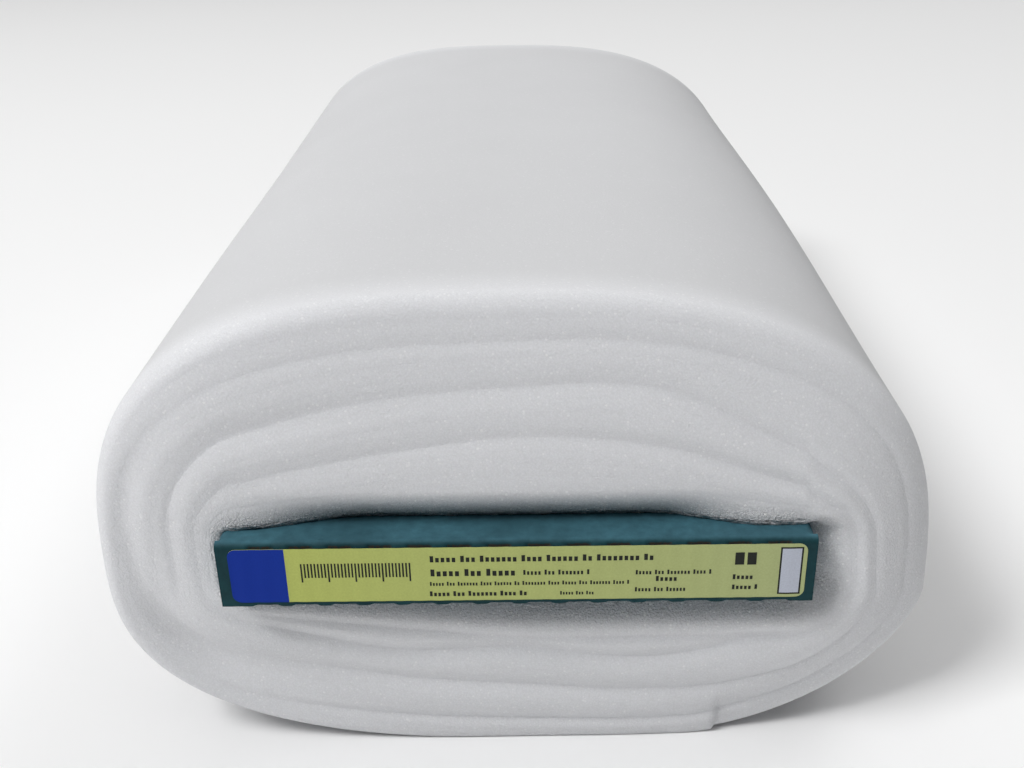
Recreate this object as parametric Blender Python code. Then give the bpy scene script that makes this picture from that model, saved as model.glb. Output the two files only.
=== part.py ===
"""Roll of foam stabilizer: a soft white sheet wound flat round a folded board that carries a label.

The roll lies along Y on its flat spot, with the labelled end towards -Y and +Z up. The origin is at the
bottom centre of its bounding box. All sizes are in metres. Each sub-part has its own function, object
and material, and every shape is worked out from the driving sizes below.
"""
import math

import bmesh
import bpy
import numpy as np

# The wound foam
FOAM_LENGTH = 0.508
HALF_WIDTH = 0.148
ROLL_HEIGHT = 0.175
CROWN_X = -0.0115
LEFT_LEVEL = 0.077
RIGHT_LEVEL = 0.059
FOOT_LEFT = 0.004
FOOT_RIGHT = 0.060
FOOT_CUT = 0.001
# The outline in four quarters: where each one's middle lies, where it reaches and how square it is
OUTLINE_COLUMNS = ("quarter", "middle_x", "middle_z", "reach_x", "reach_z", "squareness")
OUTLINE = (
    ("upper right", CROWN_X, RIGHT_LEVEL, HALF_WIDTH, ROLL_HEIGHT, 2.75),
    ("upper left", CROWN_X, LEFT_LEVEL, -HALF_WIDTH, ROLL_HEIGHT, 2.75),
    ("lower left", FOOT_LEFT, LEFT_LEVEL, -HALF_WIDTH, -FOOT_CUT, 2.6),
    ("lower right", FOOT_RIGHT, RIGHT_LEVEL, HALF_WIDTH, -FOOT_CUT, 1.6),
)
RIM_ALONG = 0.015
RIM_DEEP = 0.007
MOUTH_ALONG = 0.005
MOUTH_DEEP = 0.004
# The creases between the main turns, as shares of the way in from the rim to the board, by direction
CREASE_COLUMNS = (
    "crease", "top", "top_right", "right", "low_right", "bottom", "low_left", "left", "top_left", "depth", "width",
)
CREASES = (
    ("outer", 0.12, 0.16, 0.22, 0.17, 0.15, 0.18, 0.19, 0.19, 0.0035, 0.0030),
    ("second", 0.33, 0.43, 0.50, 0.38, 0.37, 0.47, 0.61, 0.49, 0.0030, 0.0045),
    ("third", 0.56, 0.73, 0.72, 0.64, 0.62, 0.64, 0.75, 0.72, 0.0030, 0.0040),
    ("inner", 0.84, 0.86, 0.85, 0.80, 0.79, 0.80, 0.86, 0.86, 0.0020, 0.0035),
)
# The sheet's loose outer end, a step along the whole roll
LOOSE_END_X = 0.076
LOOSE_STEP = 0.0025
LOOSE_CUT = 0.0015
LOOSE_RUN = 0.060
LOOSE_RECESS = 0.002

# The folded board
BOARD_WIDTH = 0.2032
BOARD_THICKNESS = 0.0254
BOARD_LEVEL = 0.0825
BOARD_PROUD = 0.008
BOARD_WALL = 0.0025
BOARD_CORNER = 0.0035
SEAT_GAP = 0.0003
SLOT_GAP = 0.0005
# The innermost turn arches off the board at both ends of the roll
ARCH_RISE = 0.006
ARCH_RUN = 0.060
# The perforated folds of the end panels
PERFORATIONS = 14
PERFORATION_START = 0.0156
PERFORATION_PITCH = 0.01344
PERFORATION_LENGTH = 0.007
PERFORATION_DEPTH = 0.0009
PERFORATION_TAPER = 0.0005

# The label
LABEL_WIDTH = 0.1935
LABEL_HEIGHT = 0.0232
LABEL_SHIFT_X = 0.0009
LABEL_SHIFT_Z = 0.0004
LABEL_CORNER = 0.003
LABEL_THICKNESS = 0.0004

# How finely the shapes are divided
COLUMNS = 72
OUTLINE_SAMPLES = 400
RIM_STEPS = 5
MOUTH_STEPS = 3
BAND_SHARES = (0.22, 0.5, 0.78, 1.0)
SLOT_DEPTHS = (0.012, 0.030)
CORNER_STEPS = 4
SMOOTH_ANGLE = math.radians(40)

BOARD_END = FOAM_LENGTH / 2 + BOARD_PROUD


def clear_scene():
    """Remove every object that the file opened with."""
    for item in list(bpy.data.objects):
        bpy.data.objects.remove(item, do_unlink=True)


def principled(name, colour, roughness):
    """Make a material with one Principled BSDF."""
    material = bpy.data.materials.new(name)
    material.use_nodes = True
    shader = material.node_tree.nodes["Principled BSDF"]
    shader.inputs["Base Color"].default_value = (*colour, 1.0)
    shader.inputs["Roughness"].default_value = roughness
    shader.inputs["Metallic"].default_value = 0.0
    material.diffuse_color = (*colour, 1.0)
    return material


def add_object(name, shape, material):
    """Turn a bmesh into a named object with its normals outward and its round faces smooth."""
    bmesh.ops.recalc_face_normals(shape, faces=shape.faces)
    mesh = bpy.data.meshes.new(name)
    shape.to_mesh(mesh)
    shape.free()
    mesh.materials.append(material)
    mesh.shade_smooth()
    mesh.set_sharp_from_angle(angle=SMOOTH_ANGLE)
    item = bpy.data.objects.new(name, mesh)
    bpy.context.scene.collection.objects.link(item)
    return item


def smooth_step(share):
    """Ease from 0 to 1 with level ends."""
    share = np.clip(share, 0.0, 1.0)
    return share * share * (3.0 - 2.0 * share)


def full_outline():
    """Join the four quarters, each a superellipse arc, into one loop from the right over the top."""
    angle = np.linspace(0.0, math.pi / 2, OUTLINE_SAMPLES)
    loop = []
    for row in OUTLINE:
        quarter = dict(zip(OUTLINE_COLUMNS, row))
        power = 2.0 / quarter["squareness"]
        x = quarter["middle_x"] + (quarter["reach_x"] - quarter["middle_x"]) * np.cos(angle) ** power
        z = quarter["middle_z"] + (quarter["reach_z"] - quarter["middle_z"]) * np.sin(angle) ** power
        arc = np.column_stack((x, z))
        rises = quarter["quarter"] in ("upper right", "lower left")
        loop.append(arc if rises else arc[::-1])
    return np.vstack(loop)


def column_points():
    """Space the columns evenly round the outline, clockwise from the loose end to just before it.

    Each returned row is one column's place on the outline, moved in a little where the sheet underneath
    shows beside the loose end, and its share of that loose stretch.
    """
    loop = full_outline()[::-1]
    below = loop[:, 1] < RIGHT_LEVEL / 2
    start = np.argmin(np.where(below, np.abs(loop[:, 0] - LOOSE_END_X), np.inf))
    loop = np.roll(loop, -start, axis=0)
    loop = np.vstack((loop, loop[:1]))
    travel = np.concatenate(([0.0], np.cumsum(np.linalg.norm(np.diff(loop, axis=0), axis=1))))
    stops = np.linspace(0.0, travel[-1] - LOOSE_CUT, COLUMNS)
    places = np.column_stack((np.interp(stops, travel, loop[:, 0]), np.interp(stops, travel, loop[:, 1])))
    loose = smooth_step((stops - (travel[-1] - LOOSE_RUN)) / LOOSE_RUN)
    return places, loose


def slot_points(places):
    """Find the nearest point of the slot, a rounded rectangle, to each place on the outline."""
    half = np.array((BOARD_WIDTH / 2 - BOARD_CORNER, BOARD_THICKNESS / 2 - BOARD_CORNER))
    middle = np.array((0.0, BOARD_LEVEL))
    nearest = np.clip(places, middle - half, middle + half)
    away = places - nearest
    away /= np.linalg.norm(away, axis=1, keepdims=True)
    return nearest + away * (BOARD_CORNER + SLOT_GAP), away


def eased_by_direction(direction, values):
    """Blend from each of the evenly spread directions' values to the next one."""
    values = np.asarray(values)
    place = (direction % (2 * math.pi)) / (2 * math.pi) * len(values)
    before = np.floor(place).astype(int) % len(values)
    blend = smooth_step(place - np.floor(place))
    return values[before] * (1.0 - blend) + values[(before + 1) % len(values)] * blend


def quarter_round(way, deep, along):
    """Give the setback of a rounded edge: a quarter ellipse, full at its side and none at its face."""
    left = np.clip(1.0 - way / deep, 0.0, 1.0)
    return along * (1.0 - np.sqrt(1.0 - left * left))


def end_face_rings(places, loose, slot, away):
    """Work out the rings of one end, from its outer rim across the turns and into the mouth of the slot.

    A ring's depth behind the end plane adds up the rounded rim, a cusp at each crease, which is its depth
    times e to the minus distance over its width, the recess beside the loose end and the rounded mouth.
    """
    full = np.linalg.norm(slot - places, axis=1)
    step = LOOSE_STEP * loose
    outline = places + (slot - places) * (step / full)[:, None]
    thickness = full - step
    direction = np.arctan2(places[:, 0], places[:, 1] - BOARD_LEVEL)
    creases = []
    for row in CREASES:
        crease = dict(zip(CREASE_COLUMNS, row))
        share = eased_by_direction(direction, row[1:9])
        creases.append((share * full - step, crease["depth"], crease["width"]))

    stations = [np.full(COLUMNS, RIM_DEEP * (1.0 - math.cos(math.pi / 2 * k / RIM_STEPS)))
                for k in range(RIM_STEPS + 1)]
    edges = [stations[-1]] + [place for place, _, _ in creases] + [thickness - MOUTH_DEEP]
    for near, far in zip(edges, edges[1:]):
        stations += [near + (far - near) * share for share in BAND_SHARES]
    stations += [thickness - MOUTH_DEEP * math.cos(math.pi / 2 * k / MOUTH_STEPS)
                 for k in range(1, MOUTH_STEPS + 1)]

    rings = []
    for way in stations:
        depth = quarter_round(way, RIM_DEEP, RIM_ALONG)
        depth = depth + quarter_round(thickness - way, MOUTH_DEEP, MOUTH_ALONG)
        for place, deep, width in creases:
            depth = depth + deep * np.exp(-np.abs(way - place) / width)
        depth = depth + LOOSE_RECESS * loose * smooth_step(2.0 - way / RIM_DEEP)
        lifted = slot + arch(slot, away, 0.0)
        point = outline + (lifted - outline) * (way / thickness)[:, None]
        rings.append(np.column_stack((point[:, 0], depth, point[:, 1])))
    for depth in SLOT_DEPTHS + (ARCH_RUN,):
        point = slot + arch(slot, away, depth)
        rings.append(np.column_stack((point[:, 0], np.full(len(point), depth), point[:, 1])))
    return np.array(rings)


def arch(slot, away, depth):
    """Lift the slot's upper side into a low arch that dies out as it goes in."""
    across = 1.0 - np.abs(slot[:, 0] / (BOARD_WIDTH / 2 + SLOT_GAP)) ** 3
    rise = ARCH_RISE * (1.0 - depth / ARCH_RUN) ** 2 * across * np.clip(away[:, 1], 0.0, 1.0)
    return np.column_stack((np.zeros(len(slot)), np.clip(rise, 0.0, None)))


def foam_roll():
    """Build the wound foam as one closed loft: front end, slot, back end and outside."""
    places, loose = column_points()
    slot, away = slot_points(places)
    front = end_face_rings(places, loose, slot, away)
    back = front[::-1].copy()
    front[:, :, 1] = -FOAM_LENGTH / 2 + front[:, :, 1]
    back[:, :, 1] = FOAM_LENGTH / 2 - back[:, :, 1]
    outside = front[0].copy()
    outside[:, 1] = 0.0
    inside = front[-1].copy()
    inside[:, 1] = 0.0
    rings = np.concatenate((front, inside[None], back, outside[None]))
    rings[:, :, 2] = np.maximum(rings[:, :, 2], 0.0)

    shape = bmesh.new()
    loops = [[shape.verts.new(point) for point in ring] for ring in rings]
    for loop, following in zip(loops, loops[1:] + loops[:1]):
        for k in range(-1, COLUMNS - 1):
            shape.faces.new((loop[k], loop[k + 1], following[k + 1], following[k]))
    return add_object("foam_roll", shape, principled("foam", (0.82, 0.83, 0.86), 0.95))


def core_sleeve():
    """Build the board's sleeve: a flat box with rounded long edges and open ends, given its wall."""
    shape = bmesh.new()
    bmesh.ops.create_cube(shape, size=1.0)
    length = 2 * (BOARD_END - BOARD_WALL - SEAT_GAP)
    bmesh.ops.scale(shape, vec=(BOARD_WIDTH, length, BOARD_THICKNESS), verts=shape.verts)
    bmesh.ops.translate(shape, vec=(0.0, 0.0, BOARD_LEVEL), verts=shape.verts)
    long_edges = [edge for edge in shape.edges if abs(edge.verts[0].co.y - edge.verts[1].co.y) > length / 2]
    bmesh.ops.bevel(
        shape, geom=long_edges, offset=BOARD_CORNER, segments=CORNER_STEPS, profile=0.5, affect="EDGES")
    ends = [face for face in shape.faces if abs(face.normal.y) > 0.9]
    bmesh.ops.delete(shape, geom=ends, context="FACES_ONLY")
    sleeve = add_object("core_sleeve", shape, principled("board", (0.034, 0.094, 0.120), 0.8))
    wall = sleeve.modifiers.new("wall", "SOLIDIFY")
    wall.thickness = BOARD_WALL
    wall.offset = -1.0
    wall.use_even_offset = True
    return sleeve


def plate(name, outline, face_y, thickness, material):
    """Extrude an outline in X and Z along Y, from face_y away from the viewer."""
    shape = bmesh.new()
    face = shape.faces.new([shape.verts.new((x, face_y, z)) for x, z in outline])
    moved = bmesh.ops.extrude_face_region(shape, geom=[face])
    verts = [item for item in moved["geom"] if isinstance(item, bmesh.types.BMVert)]
    bmesh.ops.translate(shape, vec=(0.0, thickness, 0.0), verts=verts)
    return add_object(name, shape, material)


def perforated_side(edge_z, inward):
    """List the points of one long side of an end panel, left to right, with its perforations."""
    points = []
    for k in range(PERFORATIONS):
        middle = -BOARD_WIDTH / 2 + PERFORATION_START + PERFORATION_PITCH * k
        start = middle - PERFORATION_LENGTH / 2
        end = middle + PERFORATION_LENGTH / 2
        deep_z = edge_z + inward * PERFORATION_DEPTH
        points += [
            (start, edge_z),
            (start + PERFORATION_TAPER, deep_z),
            (end - PERFORATION_TAPER, deep_z),
            (end, edge_z),
        ]
    return points


def end_panel(name, face_y):
    """Build a tucked-in end panel: a board plate whose two long folds are perforated."""
    half_x = BOARD_WIDTH / 2
    low = BOARD_LEVEL - BOARD_THICKNESS / 2
    high = BOARD_LEVEL + BOARD_THICKNESS / 2
    nip = BOARD_CORNER / 3
    outline = [(-half_x, high - nip), (-half_x + nip, high)]
    outline += perforated_side(high, -1.0)
    outline += [(half_x - nip, high), (half_x, high - nip), (half_x, low + nip), (half_x - nip, low)]
    outline += perforated_side(low, 1.0)[::-1]
    outline += [(-half_x + nip, low), (-half_x, low + nip)]
    return plate(name, outline, face_y, BOARD_WALL, principled(name + "_board", (0.034, 0.094, 0.120), 0.8))


def label():
    """Build the label: a thin sheet with round corners, just off the front panel."""
    middle_z = BOARD_LEVEL + LABEL_SHIFT_Z
    outline = []
    for turn in range(4):
        side_x = (1, -1, -1, 1)[turn]
        side_z = (1, 1, -1, -1)[turn]
        centre_x = LABEL_SHIFT_X + side_x * (LABEL_WIDTH / 2 - LABEL_CORNER)
        centre_z = middle_z + side_z * (LABEL_HEIGHT / 2 - LABEL_CORNER)
        for k in range(CORNER_STEPS + 1):
            angle = math.pi / 2 * (turn + k / CORNER_STEPS)
            outline.append((centre_x + LABEL_CORNER * math.cos(angle), centre_z + LABEL_CORNER * math.sin(angle)))
    face_y = -BOARD_END - SEAT_GAP - LABEL_THICKNESS
    return plate("label", outline, face_y, LABEL_THICKNESS, principled("label_paper", (0.36, 0.42, 0.11), 0.45))


def main():
    """Build every sub-part."""
    clear_scene()
    foam_roll()
    core_sleeve()
    end_panel("core_end_front", -BOARD_END)
    end_panel("core_end_back", BOARD_END - BOARD_WALL)
    label()


main()
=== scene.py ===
"""Looks of a roll of foam stabilizer: the wound foam, the folded board, its label and a plain studio.

The roll lies along Y with the labelled end towards -Y and +Z up, in metres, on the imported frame. Every
piece is a grid of points worked out as whole numpy arrays, and each operator builds one group of pieces.
"""

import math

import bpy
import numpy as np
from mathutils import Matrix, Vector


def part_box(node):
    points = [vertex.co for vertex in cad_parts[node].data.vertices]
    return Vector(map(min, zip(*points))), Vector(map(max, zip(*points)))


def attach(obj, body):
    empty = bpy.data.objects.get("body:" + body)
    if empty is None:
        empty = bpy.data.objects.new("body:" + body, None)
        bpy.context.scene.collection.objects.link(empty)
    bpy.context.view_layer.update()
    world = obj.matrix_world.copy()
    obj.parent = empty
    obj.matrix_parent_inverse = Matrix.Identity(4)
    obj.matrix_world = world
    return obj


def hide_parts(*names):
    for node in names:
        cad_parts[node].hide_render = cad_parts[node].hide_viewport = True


bl_info = {
    "name": "Foam stabilizer roll",
    "version": (1, 0, 0),
    "blender": (4, 5, 0),
    "location": "3D View > Sidebar > Foam roll",
    "description": "Builds a roll of soft foam on a folded board, with its label and a plain studio",
    "category": "Add Mesh",
}

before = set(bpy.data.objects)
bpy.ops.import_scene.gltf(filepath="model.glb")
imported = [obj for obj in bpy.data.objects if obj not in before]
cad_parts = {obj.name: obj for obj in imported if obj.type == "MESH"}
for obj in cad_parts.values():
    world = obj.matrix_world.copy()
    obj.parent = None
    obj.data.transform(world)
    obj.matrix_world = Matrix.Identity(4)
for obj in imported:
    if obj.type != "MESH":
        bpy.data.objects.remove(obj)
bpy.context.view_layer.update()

FULL_TURN = 2.0 * math.pi
QUARTER_TURN = math.pi / 2.0

# Sizes that come from the frame
FOAM_LOW, FOAM_HIGH = (np.array(corner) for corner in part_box("foam_roll"))
SLEEVE_LOW, SLEEVE_HIGH = (np.array(corner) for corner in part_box("core_sleeve"))
PANEL_LOW, PANEL_HIGH = (np.array(corner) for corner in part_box("core_end_front"))
LABEL_LOW, LABEL_HIGH = (np.array(corner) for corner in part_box("label"))
HALF_WIDTH = (FOAM_HIGH[0] - FOAM_LOW[0]) / 2
ROLL_HEIGHT = FOAM_HIGH[2]
FOAM_END = FOAM_HIGH[1]
BOARD_HALF = SLEEVE_HIGH[0]
BOARD_THICKNESS = SLEEVE_HIGH[2] - SLEEVE_LOW[2]
BOARD_LEVEL = (SLEEVE_HIGH[2] + SLEEVE_LOW[2]) / 2
BOARD_END = -PANEL_LOW[1]
BOARD_WALL = PANEL_HIGH[1] - PANEL_LOW[1]
SLEEVE_END = SLEEVE_HIGH[1]

# The roll's outline in four quarters, as in the solid: each one's middle, its reach and how square it is
CROWN_X = -0.0115
LEFT_LEVEL = 0.077
RIGHT_LEVEL = 0.059
FOOT_LEFT = 0.004
FOOT_RIGHT = 0.060
FOOT_CUT = 0.001
OUTLINE_COLUMNS = ("quarter", "middle_x", "middle_z", "reach_x", "reach_z", "squareness")
OUTLINE = (
    ("upper right", CROWN_X, RIGHT_LEVEL, HALF_WIDTH, ROLL_HEIGHT, 2.75),
    ("upper left", CROWN_X, LEFT_LEVEL, -HALF_WIDTH, ROLL_HEIGHT, 2.75),
    ("lower left", FOOT_LEFT, LEFT_LEVEL, -HALF_WIDTH, -FOOT_CUT, 2.6),
    ("lower right", FOOT_RIGHT, RIGHT_LEVEL, HALF_WIDTH, -FOOT_CUT, 1.6),
)
OUTLINE_SAMPLES = 1500
COLUMNS = 400

# The end faces: a rounded rim, then bands of turns with a crease after each, then the rounded mouth
RIM_DEEP = 0.006
RIM_RINGS = 12
MOUTH_RINGS = 10
BAND_COLUMNS = ("crease", "turns", "rings", "depth", "width")
BANDS = (
    ("outer", 2, 8, 0.0005, 0.035),
    ("second", 3, 22, 0.0008, 0.060),
    ("third", 4, 22, 0.0007, 0.050),
    ("inner", 4, 26, 0.0005, 0.040),
)
LAST_TURNS = 2
LAST_RINGS = 12
# Each crease's share of the way in from rim to board, and its strength, clockwise by 30 degrees
CREASE_SHARES = {
    "outer": (0.185, 0.172, 0.220, 0.210, 0.185, 0.140, 0.155, 0.175, 0.185, 0.180, 0.235, 0.200),
    "second": (0.374, 0.372, 0.620, 0.480, 0.390, 0.340, 0.385, 0.430, 0.530, 0.615, 0.555, 0.425),
    "third": (0.585, 0.620, 0.800, 0.720, 0.760, 0.560, 0.630, 0.610, 0.800, 0.800, 0.780, 0.660),
    "inner": (0.800, 0.820, 0.880, 0.790, 0.830, 0.750, 0.790, 0.800, 0.860, 0.890, 0.880, 0.820),
}
CREASE_STRENGTHS = {
    "outer": (1.2, 1.5, 1.3, 0.9, 0.6, 2.3, 2.8, 2.6, 0.9, 0.1, 0.1, 0.9),
    "second": (1.6, 2.0, 2.0, 1.1, 1.4, 2.6, 2.9, 2.9, 0.5, 1.0, 1.3, 1.3),
    "third": (1.6, 2.1, 2.1, 1.0, 1.2, 3.0, 2.9, 3.2, 0.9, 0.4, 0.6, 1.4),
    "inner": (0.2, 0.3, 0.4, 0.3, 0.5, 2.2, 2.2, 2.0, 0.4, 0.2, 0.2, 0.2),
}
# How far the rim is rounded back along the roll, by the same directions
RIM_ALONGS = (0.005, 0.005, 0.005, 0.003, 0.0005, 0.003, 0.003, 0.003, 0.005, 0.010, 0.008, 0.005)
# How far the face falls back from the board to the rim, by the same directions
DOMES = (0.0150, 0.0145, 0.0140, 0.0135, 0.0040, 0.002, 0.0025, 0.003, 0.0036, 0.0046, 0.0085, 0.0135)
# How far the mouth is rounded into the face and back along the roll, by the same directions
MOUTH_DEEPS = (0.002, 0.002, 0.004, 0.014, 0.018, 0.020, 0.020, 0.015, 0.007, 0.004, 0.003, 0.002)
MOUTH_ALONGS = (0.001, 0.001, 0.002, 0.015, 0.021, 0.024, 0.024, 0.016, 0.006, 0.002, 0.0015, 0.001)
# A crease is mostly a bell across its width, with a small sharp cusp in its middle
CREASE_BELL = 0.88
CREASE_CUSP = 0.12
CUSP_STEEPNESS = 3.0
CREASE_CLEARANCE = 0.0015
# The pitch of the turns, the share of it below which crowded turns fade out, and the turns that are fuzzy,
# where the painted pore shade and glints are strongest
TURN_PITCH = 0.0043
CROWDED_SHARE = 0.3
LEAST_TURN_STEP = 0.001
FUZZ_AND_SHADE_TURNS = (13.1, 14.3)
# The groove between two turns: its middle strength and how far that drifts either way
GROOVE_MIDDLE = 0.55
GROOVE_DRIFT = 0.45
# Slow waves run this much faster along or across than round the roll
WAVE_STRETCH = 2.0
FACE_SEEDS = (3, 17)
FRAY_SEEDS = (5, 6)
OUTSIDE_SEED = 31
# The spacing of the points along the mouth's edge at which it frays in full
FRAY_SPACING = 0.0018
# The stretch by each end over which the outside's finish turns into that of the cut ends, which are painted
# lighter
CUT_BLEND = 0.040
CUT_EDGE = 0.005
# Broad hollows in the end faces and one swell, whose depth is negative: the middle's direction in degrees
# and share of the way in, the reach in degrees and as a share, and the depth
HOLLOW_COLUMNS = ("hollow", "direction", "share", "reach_round", "reach_in", "depth")
HOLLOWS = (
    ("low left", 246, 0.38, 18, 0.14, 0.0056),
    ("left", 277, 0.27, 16, 0.08, 0.0010),
    ("low right", 114, 0.06, 25, 0.30, 0.0040),
    ("right of the board", 98, 0.97, 14, 0.26, 0.0078),
    ("low right swell", 117, 0.52, 23, 0.20, -0.0019),
    ("top left", 315, 0.47, 16, 0.07, 0.0006),
)
# The sheet's loose outer end, a step along the whole roll, and the recess of the end face beside it
LOOSE_END_X = 0.0725
LOOSE_STEP = 0.0007
LOOSE_CUT = 0.0012
LOOSE_RUN = 0.085
LOOSE_RECESS = 0.0012
LOOSE_SHARE = 0.32
LOOSE_REACH = 0.18
# The slot for the board, which the foam presses into, and the setback of the lip over the board
BOARD_CORNER = 0.0035
SLOT_GAP = -0.0003
SLOT_DEPTHS = (0.014, 0.018, 0.025, 0.036, 0.060)
LIP_DEEP = 0.0150
LIP_ALONG = 0.0090
LIP_LEFT = (-0.0985, -0.050)
LIP_RIGHT = (0.045, 0.086)
# The outside between the two end faces
OUTSIDE_ROWS = 16
BULGE_DIRECTION = math.radians(62)
BULGE_REACH = math.radians(38)

# The board
FOLD_RADIUS = 0.0022
EDGE_RADIUS = 0.0004
CUT_DROP = 0.0014
CUT_SPREAD = 0.0006
PERFORATIONS = 14
PERFORATION_START = 0.0156
SIDE_STEP = 0.001
PANEL_STEP = 0.0005
CORNER_STEPS = 6
SLEEVE_ROWS = 12
PANEL_ROWS = 26

# The label
LABEL_CORNER = 0.003
LABEL_LIFT = 0.00003
LABEL_TOP_CUT = 0.0012
LABEL_FOOT_CUT = 0.0005
LABEL_LEFT_REACH = 0.0016
LABEL_RIGHT_REACH = 0.0004
LABEL_LEFT = LABEL_LOW[0] - LABEL_LEFT_REACH
LABEL_RIGHT = LABEL_HIGH[0] + LABEL_RIGHT_REACH
LABEL_TOP = LABEL_HIGH[2] - LABEL_TOP_CUT
LABEL_FOOT = LABEL_LOW[2] + LABEL_FOOT_CUT
LABEL_THICKNESS = 0.00015
PRINT_THICKNESS = 0.00003
PATCH_END = 0.0193
PRINT_GRAIN = (0.20, 0.24, 0.04, 1.0)
LABEL_ROWS = 10
PATCH_ROWS = 4
# Rows of plain marks: each one's start and end across the label, its top, its foot and its marks' size
ROW_COLUMNS = ("row", "start", "end", "top", "foot", "bold")
ROWS = (
    ("heading", -0.0290, 0.0475, 0.0075, 0.0050, 1.15),
    ("second", -0.0290, 0.0010, 0.0021, -0.0007, 1.15),
    ("second, small", 0.0025, 0.0258, 0.0015, -0.0005, 0.9),
    ("third", -0.0294, 0.0387, -0.0030, -0.0046, 0.9),
    ("fourth", -0.0296, 0.0047, -0.0069, -0.0089, 1.1),
    ("foot", 0.0150, 0.0272, -0.0073, -0.0088, 0.9),
    ("middle", 0.0406, 0.0670, 0.0010, -0.0008, 0.9),
    ("middle, short", 0.0475, 0.0560, -0.0015, -0.0036, 1.1),
    ("middle foot", 0.0405, 0.0583, -0.0060, -0.0078, 0.9),
    ("right", 0.0735, 0.0823, -0.0012, -0.0032, 1.1),
    ("right foot", 0.0735, 0.0823, -0.0054, -0.0073, 1.1),
)
WORD_LENGTHS = (5, 3, 7, 4, 6, 2, 8, 4)
# A mark's width, the gap beside it, a small mark's height and the space after a word, as shares
MARK_WIDTH = 0.42
MARK_GAP = 0.26
SMALL_MARK = 0.72
WORD_SPACE = 1.6
# The two large marks: each one's start, end, top and foot
BLOCKS = ((0.0739, 0.0770, 0.0076, 0.0027), (0.0780, 0.0811, 0.0076, 0.0027))
TICKS_START = -0.0731
TICKS_END = -0.0351
TICKS = 33
TICKS_TO_LONG = 8
TICK_SHARE = 0.5
TICKS_TOP = 0.0049
TICKS_FOOT = -0.0008
LONG_TICKS_FOOT = -0.0026
BOX_SIDES = (0.0896, 0.0961)
BOX_LEVELS = (-0.0089, 0.0089)
BOX_LINE = 0.0006

# The camera, set to the photograph's viewing angle
CAMERA_PLACE = (0.0056, -0.5889, 0.3109)
CAMERA_LENS = 40.77
CAMERA_PITCH = math.radians(25.658)
CAMERA_ROLL = math.radians(-1.200)
CAMERA_YAW = math.radians(0.978)

# The floor's mesh, and the lamps: each one's name, power setting, place, target and size
FLOOR_RINGS = 12
FLOOR_SIDES = 48
LAMPS = (
    ("key_lamp", "key_light", (-2.80, -1.95, 4.17), (0.0, -FOAM_END, BOARD_LEVEL), 1.80),
    ("side_lamp", "side_light", (2.6, 1.8, 4.3), (0.0, 0.0, 0.1), 2.4),
    ("top_lamp", "top_light", (0.0, 0.6, 6.0), (0.0, 0.6, 0.0), 10.0),
)


def smooth_step(share):
    """Ease from 0 to 1 with level ends: three squares less two cubes."""
    share = np.clip(share, 0.0, 1.0)
    return share * share * (3.0 - 2.0 * share)


def round_the_clock(direction, values):
    """Run a closed Catmull-Rom curve through values that stand at evenly spread directions."""
    values = np.asarray(values, float)
    place = (direction % FULL_TURN) / FULL_TURN * len(values)
    index = np.floor(place).astype(int)
    t = place - index
    before, here, after, beyond = (values[(index + step) % len(values)] for step in (-1, 0, 1, 2))
    square = 2.0 * before - 5.0 * here + 4.0 * after - beyond
    cube = 3.0 * (here - after) + beyond - before
    return 0.5 * (2.0 * here + (after - before) * t + square * t ** 2 + cube * t ** 3)


def waves(first, second, seed, count=7, finest=6):
    """Add up sines of two running values, each with its own random pace and start, into about -1 to 1."""
    draw = np.random.default_rng(seed)
    total = np.zeros(np.broadcast(first, second).shape)
    for _ in range(count):
        pace = draw.integers(1, finest + 1)
        other = draw.uniform(-1.0, 1.0) * finest
        total += np.sin(pace * first + other * second + draw.uniform(0.0, FULL_TURN))
    return total / math.sqrt(count)


def quarter_round(way, deep, along):
    """Give the setback of a rounded edge: a quarter ellipse, full at its side and none at its face."""
    left = np.clip(1.0 - way / deep, 0.0, 1.0)
    return along * (1.0 - np.sqrt(1.0 - left * left))


def grid_faces(rows, columns, close_rows):
    """List a grid's quads. Its columns close on themselves, and its rows too where close_rows is set."""
    row = np.arange(rows if close_rows else rows - 1)[:, None]
    column = np.arange(columns)[None, :]
    next_row, next_column = (row + 1) % rows, (column + 1) % columns
    corners = (row * columns + column, row * columns + next_column,
               next_row * columns + next_column, next_row * columns + column)
    return np.stack(np.broadcast_arrays(*corners), axis=-1).reshape(-1, 4)


def enclosed_volume(points, quads):
    """Add up the tetrahedra from the origin to both halves of every quad."""
    a, b, c, d = (points[quads[:, k]] for k in range(4))
    return (np.einsum("ij,ij->", a, np.cross(b, c)) + np.einsum("ij,ij->", a, np.cross(c, d))) / 6.0


def closed_mesh(name, grids, close_rows=False, sharp=None):
    """Make one mesh of one or more grids, each capped at both ends or closed on itself, faces outward.

    Edges that turn by more than sharp, in degrees, are shaded as sharp.
    """
    points, faces, start = [], [], 0
    for grid in grids:
        rows, columns = grid.shape[:2]
        flat = grid.reshape(-1, 3)
        quads = grid_faces(rows, columns, close_rows)
        turned = enclosed_volume(flat, quads) < 0.0
        quads = (quads[:, ::-1] if turned else quads) + start
        faces += quads.tolist()
        if not close_rows:
            first = start + np.arange(columns)
            last = first + (rows - 1) * columns
            faces += [first.tolist() if turned else first[::-1].tolist()]
            faces += [last[::-1].tolist() if turned else last.tolist()]
        points.append(flat)
        start += len(flat)
    mesh = bpy.data.meshes.new(name)
    mesh.from_pydata(np.concatenate(points).tolist(), [], faces)
    mesh.shade_smooth()
    if sharp:
        mesh.set_sharp_from_angle(angle=math.radians(sharp))
    return mesh


def paint(mesh, name, values):
    """Keep one number for each point of a mesh, for its material to read."""
    attribute = mesh.attributes.new(name, "FLOAT", "POINT")
    attribute.data.foreach_set("value", np.asarray(values, np.float32).ravel())


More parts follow.
